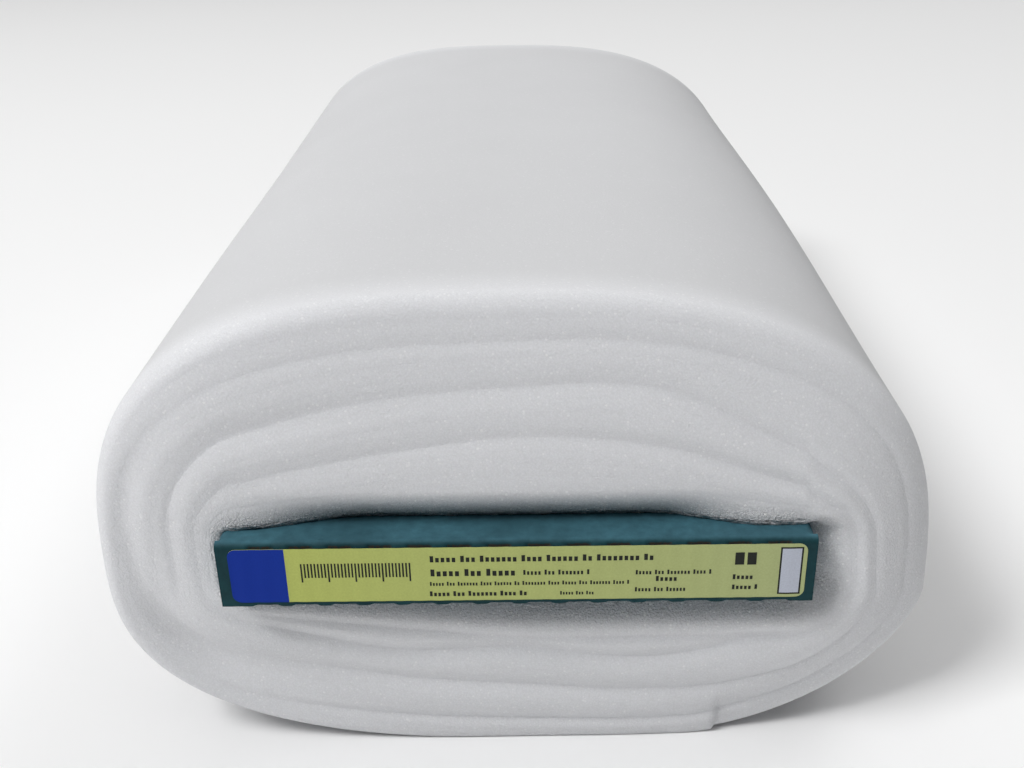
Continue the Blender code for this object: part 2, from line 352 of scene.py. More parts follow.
def add_piece(name, mesh, material, slot, *nodes):
    """Put a mesh in the scene as a piece that rides on the part and stands for the named solids."""
    mesh.materials.append(material)
    piece = bpy.data.objects.new(name, mesh)
    bpy.context.scene.collection.objects.link(piece)
    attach(piece, "root")
    if nodes:
        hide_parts(*nodes)
    return piece


def full_outline():
    """Join the four quarters, each a superellipse arc, into one loop from the right over the top."""
    angle = np.linspace(0.0, QUARTER_TURN, OUTLINE_SAMPLES)
    loop = []
    for row in OUTLINE:
        quarter = dict(zip(OUTLINE_COLUMNS, row))
        power = 2.0 / quarter["squareness"]
        x = quarter["middle_x"] + (quarter["reach_x"] - quarter["middle_x"]) * np.cos(angle) ** power
        z = quarter["middle_z"] + (quarter["reach_z"] - quarter["middle_z"]) * np.sin(angle) ** power
        arc = np.column_stack((x, z))
        rises = quarter["quarter"] in ("upper right", "lower left")
        loop.append(arc if rises else arc[::-1])
    return np.vstack(loop)


def column_places():
    """Space the columns evenly round the outline, clockwise from the loose end to just before it.

    The second value is each column's share of the loose stretch, where the turn underneath shows.
    """
    loop = full_outline()[::-1]
    below = loop[:, 1] < RIGHT_LEVEL / 2
    start = np.argmin(np.where(below, np.abs(loop[:, 0] - LOOSE_END_X), np.inf))
    loop = np.roll(loop, -start, axis=0)
    loop = np.vstack((loop, loop[:1]))
    travel = np.concatenate(([0.0], np.cumsum(np.linalg.norm(np.diff(loop, axis=0), axis=1))))
    stops = np.linspace(0.0, travel[-1] - LOOSE_CUT, COLUMNS)
    places = np.column_stack((np.interp(stops, travel, loop[:, 0]), np.interp(stops, travel, loop[:, 1])))
    return places, smooth_step((stops - (travel[-1] - LOOSE_RUN)) / LOOSE_RUN)


def slot_places(places):
    """Find the slot's point nearest to each place, on a rounded rectangle, and the way out from it."""
    half = np.array((BOARD_HALF - BOARD_CORNER, BOARD_THICKNESS / 2 - BOARD_CORNER))
    middle = np.array((0.0, BOARD_LEVEL))
    nearest = np.clip(places, middle - half, middle + half)
    away = places - nearest
    away /= np.linalg.norm(away, axis=1, keepdims=True)
    return nearest + away * (BOARD_CORNER + SLOT_GAP), away


def lip_share(slot, away):
    """Give each column's share of the lip's setback: an eased plateau across the board's upper side."""
    rises = smooth_step((slot[:, 0] - LIP_LEFT[0]) / (LIP_LEFT[1] - LIP_LEFT[0]))
    falls = smooth_step((slot[:, 0] - LIP_RIGHT[0]) / (LIP_RIGHT[1] - LIP_RIGHT[0]))
    return rises * (1.0 - falls) * np.clip(away[:, 1], 0.0, 1.0)


def crease_ways(direction, full, step, limit):
    """Give each crease's way in from the rim, in metres, for every column, short of the rounded mouth."""
    ways = [round_the_clock(direction, CREASE_SHARES[band[0]]) * full - step for band in BANDS]
    return [np.minimum(way, limit - CREASE_CLEARANCE * (len(ways) - k)) for k, way in enumerate(ways)]


def ring_ways(ways, thickness, mouth_deep):
    """Place the rings: cosine steps over the rim and mouth, and in each band steps that crowd its ends."""
    rim = RIM_DEEP * (1.0 - np.cos(QUARTER_TURN * np.arange(RIM_RINGS + 1) / RIM_RINGS))
    stations = [np.full(COLUMNS, way) for way in rim]
    edges = [stations[-1]] + ways + [thickness - mouth_deep]
    counts = [band[2] for band in BANDS] + [LAST_RINGS]
    for near, far, count in zip(edges, edges[1:], counts):
        share = np.arange(1, count + 1) / count
        share = share - 0.5 * np.sin(FULL_TURN * share) / FULL_TURN
        stations += [near + (far - near) * s for s in share]
    mouth = np.cos(QUARTER_TURN * np.arange(1, MOUTH_RINGS + 1) / MOUTH_RINGS)
    stations += [thickness - mouth_deep * left for left in mouth]
    return np.array(stations)


def turn_numbers(way, ways, thickness):
    """Count the turns on the way in: the number grows evenly across each band by that band's turns."""
    edges = [np.zeros(COLUMNS)] + ways + [thickness]
    counts = [band[1] for band in BANDS] + [LAST_TURNS]
    turns = np.zeros(way.shape)
    for near, far, count in zip(edges, edges[1:], counts):
        turns += count * np.clip((way - near) / (far - near), 0.0, 1.0)
    return np.clip(turns, 0.5, sum(counts) - 0.5)


def turn_relief(turns, direction, settings, seed):
    """Give each turn its own setback, eased at its edges, and a soft groove where two turns meet.

    The groove is a cosine of the turn number, and its depth drifts round the roll and from turn to turn.
    """
    draw = np.random.default_rng(seed)
    count = int(turns.max()) + 2
    paces = np.arange(1, 4)
    starts = draw.uniform(0.0, FULL_TURN, (count, len(paces)))
    level = np.sin(direction[None, :, None] * paces + starts[:, None, :]).mean(axis=2)
    drift = np.sin(2.0 * direction[None, :] + draw.uniform(0.0, FULL_TURN, (count, 1)))
    strength = GROOVE_MIDDLE + GROOVE_DRIFT * drift
    index = np.floor(turns - 0.5).astype(int)
    blend = smooth_step((turns - 0.5 - index - 0.5) / 0.5 + 0.5)
    columns = np.arange(len(direction))[None, :]
    setback = level[index, columns] * (1.0 - blend) + level[index + 1, columns] * blend
    groove = 0.5 + 0.5 * np.cos(FULL_TURN * turns)
    return settings.turn_setback * setback + settings.turn_groove * groove * strength[index + 1, columns]


def hollow_depth(direction, share):
    """Add up the broad hollows, each a bell in direction and in the share of the way in."""
    total = np.zeros(share.shape)
    for row in HOLLOWS:
        hollow = dict(zip(HOLLOW_COLUMNS, row))
        turned = direction - math.radians(hollow["direction"])
        turned = (turned + math.pi) % FULL_TURN - math.pi
        bell = (turned / math.radians(hollow["reach_round"])) ** 2
        bell = bell + ((share - hollow["share"]) / hollow["reach_in"]) ** 2
        total += hollow["depth"] * np.exp(-bell)
    return total


def end_face(places, loose, settings, seed):
    """Work out one end's rings, from the outer rim across the turns and into the slot.

    A ring's depth behind the end plane adds up the rounded rim, the dome, which is the square of the share
    still to go, the rounded mouth, the lip's eased setback, a bell with a small cusp at each crease, the
    turns' own relief, the broad hollows and swell, the recess beside the loose end and slow waves. Returns
    the points and their turn numbers.
    """
    slot, away = slot_places(places)
    full = np.linalg.norm(slot - places, axis=1)
    step = LOOSE_STEP * loose
    outline = places + (slot - places) * (step / full)[:, None]
    thickness = full - step
    direction = np.arctan2(places[:, 0], places[:, 1] - BOARD_LEVEL)
    lip = lip_share(slot, away)
    mouth_deep = round_the_clock(direction, MOUTH_DEEPS)
    mouth_along = round_the_clock(direction, MOUTH_ALONGS)
    ways = crease_ways(direction, full, step, thickness - mouth_deep)
    way = ring_ways(ways, thickness, mouth_deep)
    turns = turn_numbers(way, ways, thickness)
    share = (way + step) / full

    dome = round_the_clock(direction, DOMES) * settings.dome
    depth = quarter_round(way, RIM_DEEP, round_the_clock(direction, RIM_ALONGS))
    depth = depth + dome * np.clip(1.0 - share, 0.0, 1.0) ** 2
    depth = depth + quarter_round(thickness - way, mouth_deep, mouth_along)
    depth = depth + LIP_ALONG * lip * smooth_step(1.0 - (thickness - way) / LIP_DEEP)
    for row, place in zip(BANDS, ways):
        band = dict(zip(BAND_COLUMNS, row))
        strength = round_the_clock(direction, CREASE_STRENGTHS[band["crease"]]) * settings.crease_strength
        off = np.abs(way - place) / (band["width"] * full)
        profile = CREASE_BELL * np.exp(-off ** 2) + CREASE_CUSP * np.exp(-CUSP_STEEPNESS * off)
        depth = depth + strength * band["depth"] * profile
    inside = smooth_step(way / RIM_DEEP) * smooth_step((thickness - way) / mouth_deep)
    pitch = np.gradient(way, axis=0) / np.maximum(np.gradient(turns, axis=0), LEAST_TURN_STEP)
    clear = smooth_step(pitch / TURN_PITCH - CROWDED_SHARE)
    depth = depth + inside * clear * turn_relief(turns, direction, settings, seed)
    depth = depth + hollow_depth(direction, share)
    depth = depth + LOOSE_RECESS * loose * smooth_step((LOOSE_SHARE - share) / LOOSE_REACH)
    slow = waves(direction[None, :], share * WAVE_STRETCH, seed + 1, finest=3)
    depth = depth + settings.rim_waver * slow

    point = outline[None] + (slot - outline)[None] * (way / thickness)[:, :, None]
    rings = np.stack((point[:, :, 0], depth, point[:, :, 1]), axis=-1)
    inner = [np.column_stack((slot[:, 0], np.full(COLUMNS, deep), slot[:, 1])) for deep in SLOT_DEPTHS]
    rings = np.concatenate((rings, np.array(inner)))
    turns = np.concatenate((turns, np.repeat(turns[-1:], len(inner), axis=0)))
    return rings, turns


def fray_mouth(rings, seed, settings):
    """Shift the points near the mouth's edge by small random steps, as a cut foam edge is ragged.

    The steps fade out along a bell across the edge, below the board's middle, and where columns crowd.
    """
    draw = np.random.default_rng(seed)
    near = np.zeros(len(rings))
    middle = RIM_RINGS + 1 + sum(band[2] for band in BANDS) + LAST_RINGS + MOUTH_RINGS // 2
    near[middle - MOUTH_RINGS:middle + MOUTH_RINGS] = np.hanning(2 * MOUTH_RINGS)
    edge = rings[middle]
    spacing = np.linalg.norm(np.roll(edge, -1, axis=0) - np.roll(edge, 1, axis=0), axis=1) / 2
    room = smooth_step(spacing / FRAY_SPACING) * smooth_step((edge[:, 2] - BOARD_LEVEL) / BOARD_CORNER)
    return rings + (near[:, None] * room)[:, :, None] * draw.normal(0.0, settings.mouth_fray, rings.shape)


def outside_rows(front, back, away, settings):
    """Run rows along the roll from one rim to the other, swelled by a broad bulge and slow waves.

    Each row is the straight way between the rims plus, outwards, a sine-squared swell along the roll that
    is a bell about one direction, and waves that die out at both rims.
    """
    direction = np.arctan2(front[:, 0], front[:, 2] - BOARD_LEVEL)
    along = (np.arange(1, OUTSIDE_ROWS + 1) / (OUTSIDE_ROWS + 1))[:, None]
    swell = np.sin(math.pi * along) ** 2
    turned = (direction - BULGE_DIRECTION + math.pi) % FULL_TURN - math.pi
    out = settings.bulge * swell * np.exp(-(turned / BULGE_REACH) ** 2)
    slow = waves(direction[None, :], along * WAVE_STRETCH, OUTSIDE_SEED, finest=4)
    out = out + settings.skin_waver * np.sqrt(swell) * slow
    rows = front[None] + (back - front)[None] * along[:, :, None]
    rows[:, :, 0] += out * away[:, 0]
    rows[:, :, 2] += out * away[:, 1]
    return rows


def wound_foam(settings):
    """Build the foam as one grid closed both ways: front end, slot, back end and outside."""
    places, loose = column_places()
    _, away = slot_places(places)
    front, front_turns = end_face(places, loose, settings, FACE_SEEDS[0])
    back, back_turns = end_face(places, loose, settings, FACE_SEEDS[1])
    front = fray_mouth(front, FRAY_SEEDS[0], settings)
    back = fray_mouth(back, FRAY_SEEDS[1], settings)
    front[:, :, 1] = front[:, :, 1] - FOAM_END
    back[:, :, 1] = FOAM_END - back[:, :, 1]
    inside = (front[-1] + back[-1])[None] / 2
    outside = outside_rows(back[0], front[0], away, settings)
    grid = np.concatenate((front, inside, back[::-1], outside))
    grid[:, :, 2] = np.maximum(grid[:, :, 2], 0.0)
    turns = np.concatenate((front_turns, front_turns[-1:], back_turns[::-1],
                            np.repeat(front_turns[:1], OUTSIDE_ROWS, axis=0)))
    mesh = closed_mesh("wound_foam", [grid], close_rows=True)
    paint(mesh, "turn", turns)
    foam = add_piece("wound_foam", mesh, foam_material(settings), "foam", "foam_roll")
    return foam


def flute_wave(x, settings):
    """Give the washboard waves that the flutes raise in the board's liner: a cosine across the board."""
    return settings.flute_relief * np.cos(FULL_TURN * x / settings.flute_pitch)


def cut_pulse(x, settings):
    """Give 1 over each perforation of a fold and 0 between them, with eased ends."""
    first = -BOARD_HALF + PERFORATION_START
    place = (x - first) / settings.cut_pitch
    from_middle = np.abs(place - np.round(place)) * settings.cut_pitch
    among = (np.round(place) >= 0) & (np.round(place) < PERFORATIONS)
    return among * smooth_step((settings.cut_length / 2 - from_middle) / (2 * SIDE_STEP) + 0.5)


def board_sleeve(settings, material):
    """Build the sleeve: a rounded rectangle carried along Y with its wall, closed at both ends.

    The contour is the corner centres and flat sides of a smaller rectangle, pushed out by the corner's
    radius for the outer skin, which also carries the flutes, and by the radius less the wall inside.
    """
    flat_x = BOARD_HALF - BOARD_CORNER
    flat_z = BOARD_THICKNESS / 2 - BOARD_CORNER
    side = np.arange(-flat_x, flat_x + SIDE_STEP / 2, SIDE_STEP)
    upright = np.linspace(-flat_z, flat_z, 2 * CORNER_STEPS)
    arc = QUARTER_TURN * np.arange(1, CORNER_STEPS) / CORNER_STEPS
    runs = []
    sides = ((side, True), (-upright, False), (-side, True), (upright, False))
    for turn, (run, across) in enumerate(sides):
        face = QUARTER_TURN * (1 - turn)
        reach = flat_z if across else flat_x
        flat = np.full(len(run), reach * (math.sin(face) if across else math.cos(face)))
        centre = np.column_stack((run, flat) if across else (flat, run))
        runs.append(np.column_stack((centre, np.full(len(run), face))))
        corner = np.repeat(centre[-1:], len(arc), axis=0)
        runs.append(np.column_stack((corner, face - arc)))
    contour = np.vstack(runs)
    normal = np.column_stack((np.cos(contour[:, 2]), np.sin(contour[:, 2])))
    outer = BOARD_CORNER + flute_wave(contour[:, 0], settings) * np.abs(normal[:, 1])
    inner = np.full(len(contour), BOARD_CORNER - BOARD_WALL)
    ends = np.array((-SLEEVE_END, SLEEVE_END))
    lengths = np.linspace(ends[0], ends[1], SLEEVE_ROWS)
    rows = [(y, outer) for y in lengths] + [(y, inner) for y in ends[::-1]]
    grid = []
    for y, reach in rows:
        point = contour[:, :2] + normal * reach[:, None]
        grid.append(np.column_stack((point[:, 0], np.full(len(point), y), BOARD_LEVEL + point[:, 1])))
    mesh = closed_mesh("board_sleeve", [np.array(grid)], close_rows=True, sharp=40)
    for name in ("cut", "face"):
        paint(mesh, name, np.zeros(len(mesh.vertices)))
    return add_piece("board_sleeve", mesh, material, "board", "core_sleeve")


def panel_profile():
    """Work out an end panel's section, front to back over the fold, as rows of y, z and two weights.

    y runs back from the panel's face. The weights are the fold's and the lower edge's, each a bell.
    """
    low = BOARD_LEVEL - BOARD_THICKNESS / 2
    high = BOARD_LEVEL + BOARD_THICKNESS / 2
    depth = BOARD_END - SLEEVE_END
    arc = QUARTER_TURN * np.arange(0, CORNER_STEPS + 1) / CORNER_STEPS
    foot = QUARTER_TURN * np.arange(0, CORNER_STEPS // 2 + 1) / (CORNER_STEPS // 2)
    lower = np.column_stack((EDGE_RADIUS * (1 - np.sin(foot)), low + EDGE_RADIUS * (1 - np.cos(foot))))
    face = np.linspace(low + EDGE_RADIUS, high - FOLD_RADIUS, PANEL_ROWS)[1:-1]
    front = np.column_stack((np.zeros(len(face)), face))
    fold = np.column_stack((FOLD_RADIUS * (1 - np.cos(arc)), high - FOLD_RADIUS * (1 - np.sin(arc))))
    back = np.array(((depth, high), (depth, low + EDGE_RADIUS), (depth - EDGE_RADIUS, low)))
    section = np.vstack((lower, front, fold, back))
    on_front = section[:, 0] < depth - EDGE_RADIUS * 2
    fold_weight = on_front * np.exp(-((section[:, 1] - high + CUT_DROP) / CUT_SPREAD) ** 2)
    foot_weight = np.clip(1.0 - (section[:, 1] - low) / (3 * FOLD_RADIUS), 0.0, 1.0)
    return np.column_stack((section, fold_weight, foot_weight))


def end_panel(name, node, side, settings, material):
    """Build an end panel: its section carried across the board, dented at each perforation of its fold.

    The face carries the flutes. At a perforation the fold is pressed in by the cut's depth, and the lower
    edge is notched upwards. side is -1 at the front and 1 at the back.
    """
    x = np.arange(-BOARD_HALF, BOARD_HALF + PANEL_STEP / 2, PANEL_STEP)
    section = panel_profile()
    pulse = cut_pulse(x, settings)[:, None]
    y, z, fold, foot = section.T[:, None, :]
    dent = pulse * fold * settings.cut_depth
    on_face = smooth_step(1.0 - y / FOLD_RADIUS)
    setback = y + dent - flute_wave(x, settings)[:, None] * on_face
    level = z - dent + pulse * foot * settings.notch_height
    across = np.repeat(x[:, None], len(section), axis=1)
    grid = np.stack((across, side * (BOARD_END - setback), level), axis=-1)
    mesh = closed_mesh(name, [grid], sharp=50)
    paint(mesh, "cut", pulse * np.maximum(fold, 0.0))
    paint(mesh, "face", np.repeat(on_face, len(x), axis=0))
    return add_piece(name, mesh, material, "board", node)


def label_face(x, settings):
    """Give the y of the panel's face under the label, flutes included."""
    return -BOARD_END - flute_wave(x, settings)


def strip_grid(x, low, high, back, front, rows):
    """Build a thin closed strip along X between two edges: up its front and down its back."""
    share = np.linspace(0.0, 1.0, rows)
    up = low[:, None] + (high - low)[:, None] * share
    z = np.concatenate((up, up[:, ::-1]), axis=1)
    y = np.repeat(np.stack((front, back), axis=1), rows, axis=1)
    return np.stack((np.repeat(x[:, None], 2 * rows, axis=1), y, z), axis=-1)


def label_edges(x):
    """Give the label's lower and upper edge at each x: level, with a quarter circle at each corner."""
    middle_x = (LABEL_LEFT + LABEL_RIGHT) / 2
    half_x = (LABEL_RIGHT - LABEL_LEFT) / 2
    middle_z = (LABEL_FOOT + LABEL_TOP) / 2
    half_z = (LABEL_TOP - LABEL_FOOT) / 2
    into = np.clip(1.0 - (half_x - np.abs(x - middle_x)) / LABEL_CORNER, 0.0, 1.0)
    half = half_z - LABEL_CORNER * (1.0 - np.sqrt(1.0 - into ** 2))
    return middle_z - half, middle_z + half


def label_stations():
    """Space stations across the label, crowded by cosine steps over the rounded corners."""
    stations = np.arange(LABEL_LEFT, LABEL_RIGHT, SIDE_STEP)
    arc = LABEL_CORNER * (1.0 - np.cos(QUARTER_TURN * np.arange(CORNER_STEPS + 1) / CORNER_STEPS))
    inside = (stations > LABEL_LEFT + LABEL_CORNER) & (stations < LABEL_RIGHT - LABEL_CORNER)
    return np.concatenate((LABEL_LEFT + arc, stations[inside], (LABEL_RIGHT - arc)[::-1]))


def print_grid(start, end, top, foot, settings):
    """Build one plain printed mark: a thin raised rectangle that follows the label's face."""
    x = np.linspace(start, end, max(2, int((end - start) / SIDE_STEP) + 1))
    level = np.full(len(x), BOARD_LEVEL)
    back = label_face(x, settings) - LABEL_LIFT - LABEL_THICKNESS
    return strip_grid(x, level + foot, level + top, back, back - PRINT_THICKNESS, 2)


def row_marks(row):
    """Lay out one row of plain marks: a taller mark starts each word, and the words' lengths take turns."""
    height = row["top"] - row["foot"]
    width = MARK_WIDTH * height * row["bold"]
    gap = MARK_GAP * height
    marks, x, word = [], row["start"], 0
    while x < row["end"] - width:
        for k in range(WORD_LENGTHS[word % len(WORD_LENGTHS)]):
            if x + width > row["end"]:
                break
            top = row["top"] if k == 0 else row["foot"] + SMALL_MARK * height
            marks.append((x, x + width, top, row["foot"]))
            x += width + gap
        x += WORD_SPACE * gap
        word += 1
    return marks


def dark_marks():
    """List every dark mark: the rows, the large marks, the even ticks and the blank box's outline."""
    marks = []
    for row in ROWS:
        marks += row_marks(dict(zip(ROW_COLUMNS, row)))
    marks += BLOCKS
    pitch = (TICKS_END - TICKS_START) / TICKS
    for k in range(TICKS):
        start = TICKS_START + pitch * k
        foot = LONG_TICKS_FOOT if k % TICKS_TO_LONG == 0 else TICKS_FOOT
        marks.append((start, start + TICK_SHARE * pitch, TICKS_TOP, foot))
    left, right = BOX_SIDES
    low, high = BOX_LEVELS
    marks += [
        (left - BOX_LINE, right + BOX_LINE, high + BOX_LINE, high),
        (left - BOX_LINE, right + BOX_LINE, low, low - BOX_LINE),
        (left - BOX_LINE, left, high, low),
        (right, right + BOX_LINE, high, low),
    ]
    return marks


def label_pieces(settings):
    """Build the paper label, its plain patch, its dark marks and its blank box."""
    board = bpy.context.scene.roll_board
    x = label_stations()
    back = label_face(x, board) - LABEL_LIFT
    sheet = strip_grid(x, *label_edges(x), back, back - LABEL_THICKNESS, LABEL_ROWS)

    x = np.append(x[x < LABEL_LEFT + PATCH_END], LABEL_LEFT + PATCH_END)
    back = label_face(x, board) - LABEL_LIFT - LABEL_THICKNESS
    patch = strip_grid(x, *label_edges(x), back, back - PRINT_THICKNESS, PATCH_ROWS)
    box = print_grid(*BOX_SIDES, BOX_LEVELS[1], BOX_LEVELS[0], board)
    dark = [print_grid(*mark, board) for mark in dark_marks()]

    mesh = closed_mesh("paper_label", [sheet], sharp=60)
    add_piece("paper_label", mesh, paper_material(settings), "label", "label")
    for name, grids, colour in (
        ("label_patch", [patch], settings.patch_colour),
        ("label_box", [box], settings.box_colour),
        ("label_marks", dark, settings.ink_colour),
    ):
        mesh = closed_mesh(name, grids, sharp=60)
        add_piece(name, mesh, ink_material(name + "_ink", colour), "label")


class Nodes:
    """The nodes of a new material, with a short method for each kind that repeats."""

    def __init__(self, name):
        """Start the material, with the place on its piece in metres."""
        self.material = bpy.data.materials.new(name)
        self.material.use_nodes = True
        self.tree = self.material.node_tree
        self.shader = self.tree.nodes["Principled BSDF"]
        self.place = self.add("ShaderNodeTexCoord").outputs["Object"]

    def add(self, kind, inputs=(), **values):
        """Add a node, set its values, and set its inputs or link them to other nodes' outputs."""
        node = self.tree.nodes.new(kind)
        for name, value in values.items():
            setattr(node, name, value)
        for name, value in dict(inputs).items():
            if isinstance(value, bpy.types.NodeSocket):
                self.tree.links.new(value, node.inputs[name])
            else:
                node.inputs[name].default_value = value
        return node

    def combine(self, operation, first, second=0.5):
        """Combine two numbers."""
        return self.add("ShaderNodeMath", {0: first, 1: second}, operation=operation).outputs[0]

    def mix(self, share, first, second):
        """Mix two colours."""
        return self.add("ShaderNodeMixRGB", {"Fac": share, "Color1": first, "Color2": second}).outputs[0]

    def two_tones(self, share, first, second, swing):
        """Mix two colours twice, both darker and then both lighter by the swing."""
        return [self.mix(share, scaled(first, s), scaled(second, s)) for s in (1.0 - swing, 1.0 + swing)]

    def spread(self, value, low, high, to_low=0.0, to_high=1.0, **values):
        """Map a number from one range to another."""
        ranges = {"Value": value, "From Min": low, "From Max": high, "To Min": to_low, "To Max": to_high}
        return self.add("ShaderNodeMapRange", ranges, **values).outputs[0]

    def noise(self, scale, detail, **inputs):
        """Make noise about the piece's own place."""
        inputs = {"Vector": self.place, "Scale": scale, "Detail": detail, **inputs}
        return self.add("ShaderNodeTexNoise", inputs).outputs["Fac"]

    def painted(self, name):
        """Read the number that a mesh keeps for each point."""
        return self.add("ShaderNodeAttribute", attribute_name=name).outputs["Fac"]

    def bump(self, height, strength, distance, **inputs):
        """Turn a height into a bump."""
        inputs = {"Height": height, "Strength": strength, "Distance": distance, **inputs}
        return self.add("ShaderNodeBump", inputs).outputs["Normal"]

    def finish(self, colour, roughness, specular, normal=None):
        """Link the colour and the bump to the shader and set its finish."""
        self.tree.links.new(colour, self.shader.inputs["Base Color"])
        if normal:
            self.tree.links.new(normal, self.shader.inputs["Normal"])
        self.shader.inputs["Roughness"].default_value = roughness
        self.shader.inputs["Specular IOR Level"].default_value = specular
        return self.material


def grey(value):
    """Make a grey colour."""
    return (value, value, value, 1.0)


def scaled(colour, share=1.0):
    """Scale a colour, at most to full, and give it an alpha of one."""
    return (*[min(1.0, c * share) for c in colour], 1.0)


def foam_material(settings):
    """Open-cell foam: small cells in the bump, painted glints on a few cells, fine lines of painted shade
    where turns meet, painted shade in the pores and cut ends painted lighter.
    """
    nodes = Nodes("white_foam")
    cells = nodes.add("ShaderNodeTexVoronoi", {"Vector": nodes.place, "Scale": 1.0 / settings.cell_size})
    distance = cells.outputs["Distance"]
    grain = nodes.noise(0.55 / settings.cell_size, 3.0)
    tone = nodes.noise(14.0, 2.0)

    # Lines where two turns meet, broken up by noise, for the bump and for painted shade in the grooves
    turn = nodes.painted("turn")
    part = nodes.combine("FRACT", turn)
    off = nodes.combine("ABSOLUTE", nodes.combine("SUBTRACT", part, 0.5))
    line = nodes.spread(off, 0.40, 0.5, interpolation_type="SMOOTHSTEP")
    line = nodes.combine("MULTIPLY", line, nodes.noise(60.0, 1.0))

    # The cut ends are painted lighter than the outside, as painted light for the light they catch, and are
    # rougher, roughest in the turns by the mouth
    along = nodes.add("ShaderNodeSeparateXYZ", {"Vector": nodes.place}).outputs["Y"]
    along = nodes.combine("ABSOLUTE", along)
    ends = nodes.spread(along, FOAM_END - CUT_BLEND, FOAM_END - CUT_EDGE, interpolation_type="SMOOTHSTEP")
    base = nodes.mix(tone, *nodes.two_tones(ends, settings.colour, settings.cut_colour, 0.03))
    fuzz_shade_and_glint = nodes.spread(turn, *FUZZ_AND_SHADE_TURNS, 1.0, 3.0)
    rough_shade_and_glint = nodes.combine("MULTIPLY", nodes.spread(ends, 0.0, 1.0, 0.35, 1.0), fuzz_shade_and_glint)
    # Painted shade darkens the pores and the lines where two turns meet, and painted glints lighten a few
    # cells
    pore_shade = nodes.combine("MULTIPLY", nodes.spread(distance, 0.15, 0.75, 0.0, 0.16), rough_shade_and_glint)
    pore_shaded = nodes.mix(pore_shade, base, grey(0.42))
    # Painted shade in the grooves where two turns meet
    shaded = nodes.mix(nodes.combine("MULTIPLY", line, 0.03), pore_shaded, grey(0.35))
    # Painted glints: a few cells lightened towards white
    painted_glint = nodes.add("ShaderNodeSeparateColor", {"Color": cells.outputs["Color"]}).outputs[0]
    painted_glint = nodes.combine("MULTIPLY", nodes.spread(painted_glint, 0.95, 1.0, 0.0, 0.33), rough_shade_and_glint)
    glint_painted = nodes.mix(painted_glint, shaded, grey(1.0))

    height = nodes.combine("ADD", distance, grain)
    coarse = nodes.bump(line, 0.15, -0.0004)
    fine = nodes.bump(height, nodes.combine("MULTIPLY", rough_shade_and_glint, 0.45), -0.0004, Normal=coarse)
    nodes.shader.inputs["Subsurface Weight"].default_value = settings.softness
    nodes.shader.inputs["Subsurface Radius"].default_value = (1.0, 1.0, 1.0)
    nodes.shader.inputs["Subsurface Scale"].default_value = 0.006
    return nodes.finish(glint_painted, 0.95, 0.25, fine)


def board_material(settings):
    """Printed corrugated board: mottled teal, and brown where a fold is cut through."""
    nodes = Nodes("teal_board")
    mottle = nodes.noise(260.0, 5.0, Roughness=0.65)
    spread = nodes.spread(nodes.combine("MULTIPLY", mottle, nodes.noise(28.0, 2.0)), 0.12, 0.42)
    face = nodes.painted("face")
    base = nodes.mix(spread, *nodes.two_tones(face, settings.colour, settings.face_colour, 0.28))
    torn = nodes.combine("MULTIPLY", nodes.painted("cut"), nodes.noise(900.0, 2.0))
    worn = nodes.mix(nodes.spread(torn, 0.22, 0.42), base, scaled(settings.cut_colour))
    return nodes.finish(worn, 0.6, 0.12, nodes.bump(mottle, 0.35, 0.0003))


def paper_material(settings):
    """Coated label paper: its colour runs from left to right, with a fine print grain."""
    nodes = Nodes("label_paper")
    across = nodes.add("ShaderNodeSeparateXYZ", {"Vector": nodes.place}).outputs["X"]
    share = nodes.spread(across, float(LABEL_LOW[0]), float(LABEL_HIGH[0]))
    run = nodes.mix(share, scaled(settings.left_colour), scaled(settings.right_colour))
    grain = nodes.noise(1400.0, 3.0)
    printed = nodes.mix(nodes.spread(grain, 0.35, 0.65, 0.0, 0.14), run, PRINT_GRAIN)
    return nodes.finish(printed, 0.45, 0.12, nodes.bump(grain, 0.12, 0.0001))


def ink_material(name, colour):
    """Printed ink: one colour with a fine uneven grain."""
    nodes = Nodes(name)
    tone = nodes.mix(nodes.noise(1800.0, 2.0), scaled(colour, 0.85), scaled(colour, 1.15))
    return nodes.finish(tone, 0.4, 0.12)


def floor_material(settings):
    """A plain pale studio floor with hardly any tone in it."""
    nodes = Nodes("pale_floor")
    tone = nodes.noise(1.5, 1.0)
    mixed = nodes.mix(tone, scaled(settings.floor_colour, 0.985), scaled(settings.floor_colour))
    return nodes.finish(mixed, 0.9, 0.1)


def add_floor(settings):
    """Lay a flat round floor: rings of points about the roll, spaced by the square of their number."""
    ring = (np.arange(1, FLOOR_RINGS + 1) / FLOOR_RINGS) ** 2 * settings.floor_radius
    angle = FULL_TURN * np.arange(FLOOR_SIDES) / FLOOR_SIDES
    x = ring[:, None] * np.cos(angle)
    y = ring[:, None] * np.sin(angle)
    grid = np.stack((x, y, np.zeros(x.shape)), axis=-1)
    faces = grid_faces(*x.shape, False)[:, ::-1].tolist() + [list(range(FLOOR_SIDES))]
    mesh = bpy.data.meshes.new("floor")
    mesh.from_pydata(grid.reshape(-1, 3).tolist(), [], faces)
    mesh.materials.append(floor_material(settings))
    floor = bpy.data.objects.new("floor", mesh)
    bpy.context.scene.collection.objects.link(floor)


def add_light(name, place, target, size, power):
    """Hang a square white area light that faces its target."""
    light = bpy.data.lights.new(name, "AREA")
    light.shape = "SQUARE"
    light.size = size
    light.energy = power
    item = bpy.data.objects.new(name, light)
    item.location = place
    item.rotation_euler = (Vector(target) - Vector(place)).to_track_quat("-Z", "Y").to_euler()
    bpy.context.scene.collection.objects.link(item)


